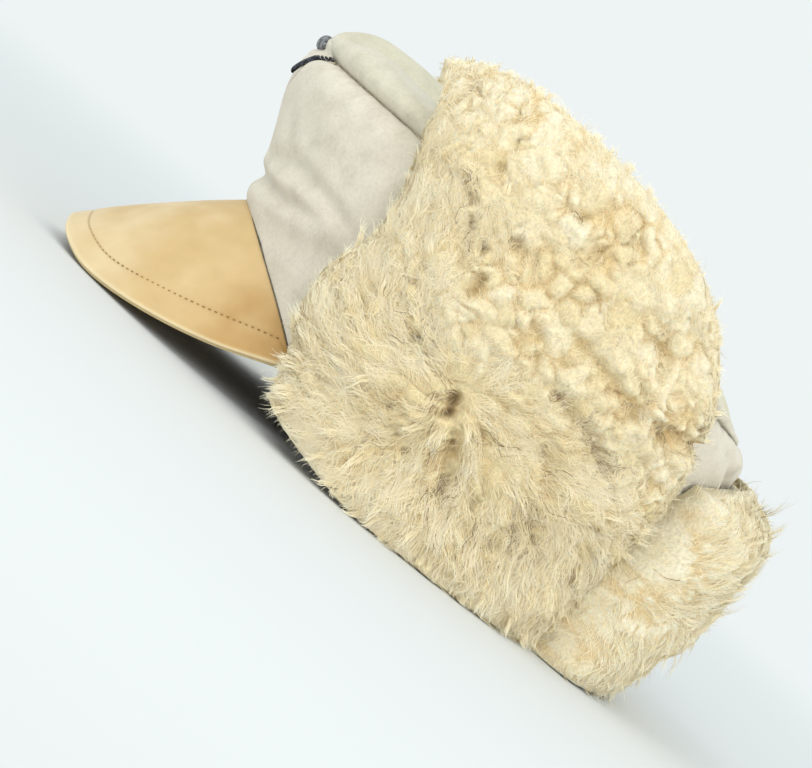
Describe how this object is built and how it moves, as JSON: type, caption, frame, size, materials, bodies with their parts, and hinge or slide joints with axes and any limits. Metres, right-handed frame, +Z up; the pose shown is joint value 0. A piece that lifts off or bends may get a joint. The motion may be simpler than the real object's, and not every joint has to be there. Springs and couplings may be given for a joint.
{
  "type": "winter fur cap",
  "caption": "Padded suede winter cap with a curved leather peak and sheepskin ear and neck flaps folded up, wool outwards.",
  "frame": {"origin": "middle of the cap's length and width, on the surface that it rests on", "axes": "+Z up out of the top of the crown, -Y forwards over the peak, +X towards the wearer's left"},
  "size_m": [0.2558, 0.3138, 0.178],
  "materials": {
    "crown_suede": "pale grey cream suede, matt, with cloudy nap",
    "peak_leather": "smooth tan leather, soft sheen, fine grain",
    "peak_lining": "plain tan leather, matt",
    "sheepskin_wool": "cream sheep's wool, clumped and crimped",
    "dark_thread": "satin stitched thread",
    "grey_thread": "wound thread, matt"
  },
  "bodies": {
    "root": {"crown_side_panel_left": "crown_suede", "crown_side_panel_right": "crown_suede", "crown_front_gusset": "crown_suede", "crown_top_panel": "crown_suede", "peak_upper": "peak_leather", "peak_under": "peak_lining", "ear_flap_left": "sheepskin_wool", "ear_flap_right": "sheepskin_wool", "neck_flap": "sheepskin_wool", "front_badge": "dark_thread", "front_badge_knot": "grey_thread"}
  },
  "joints": []
}
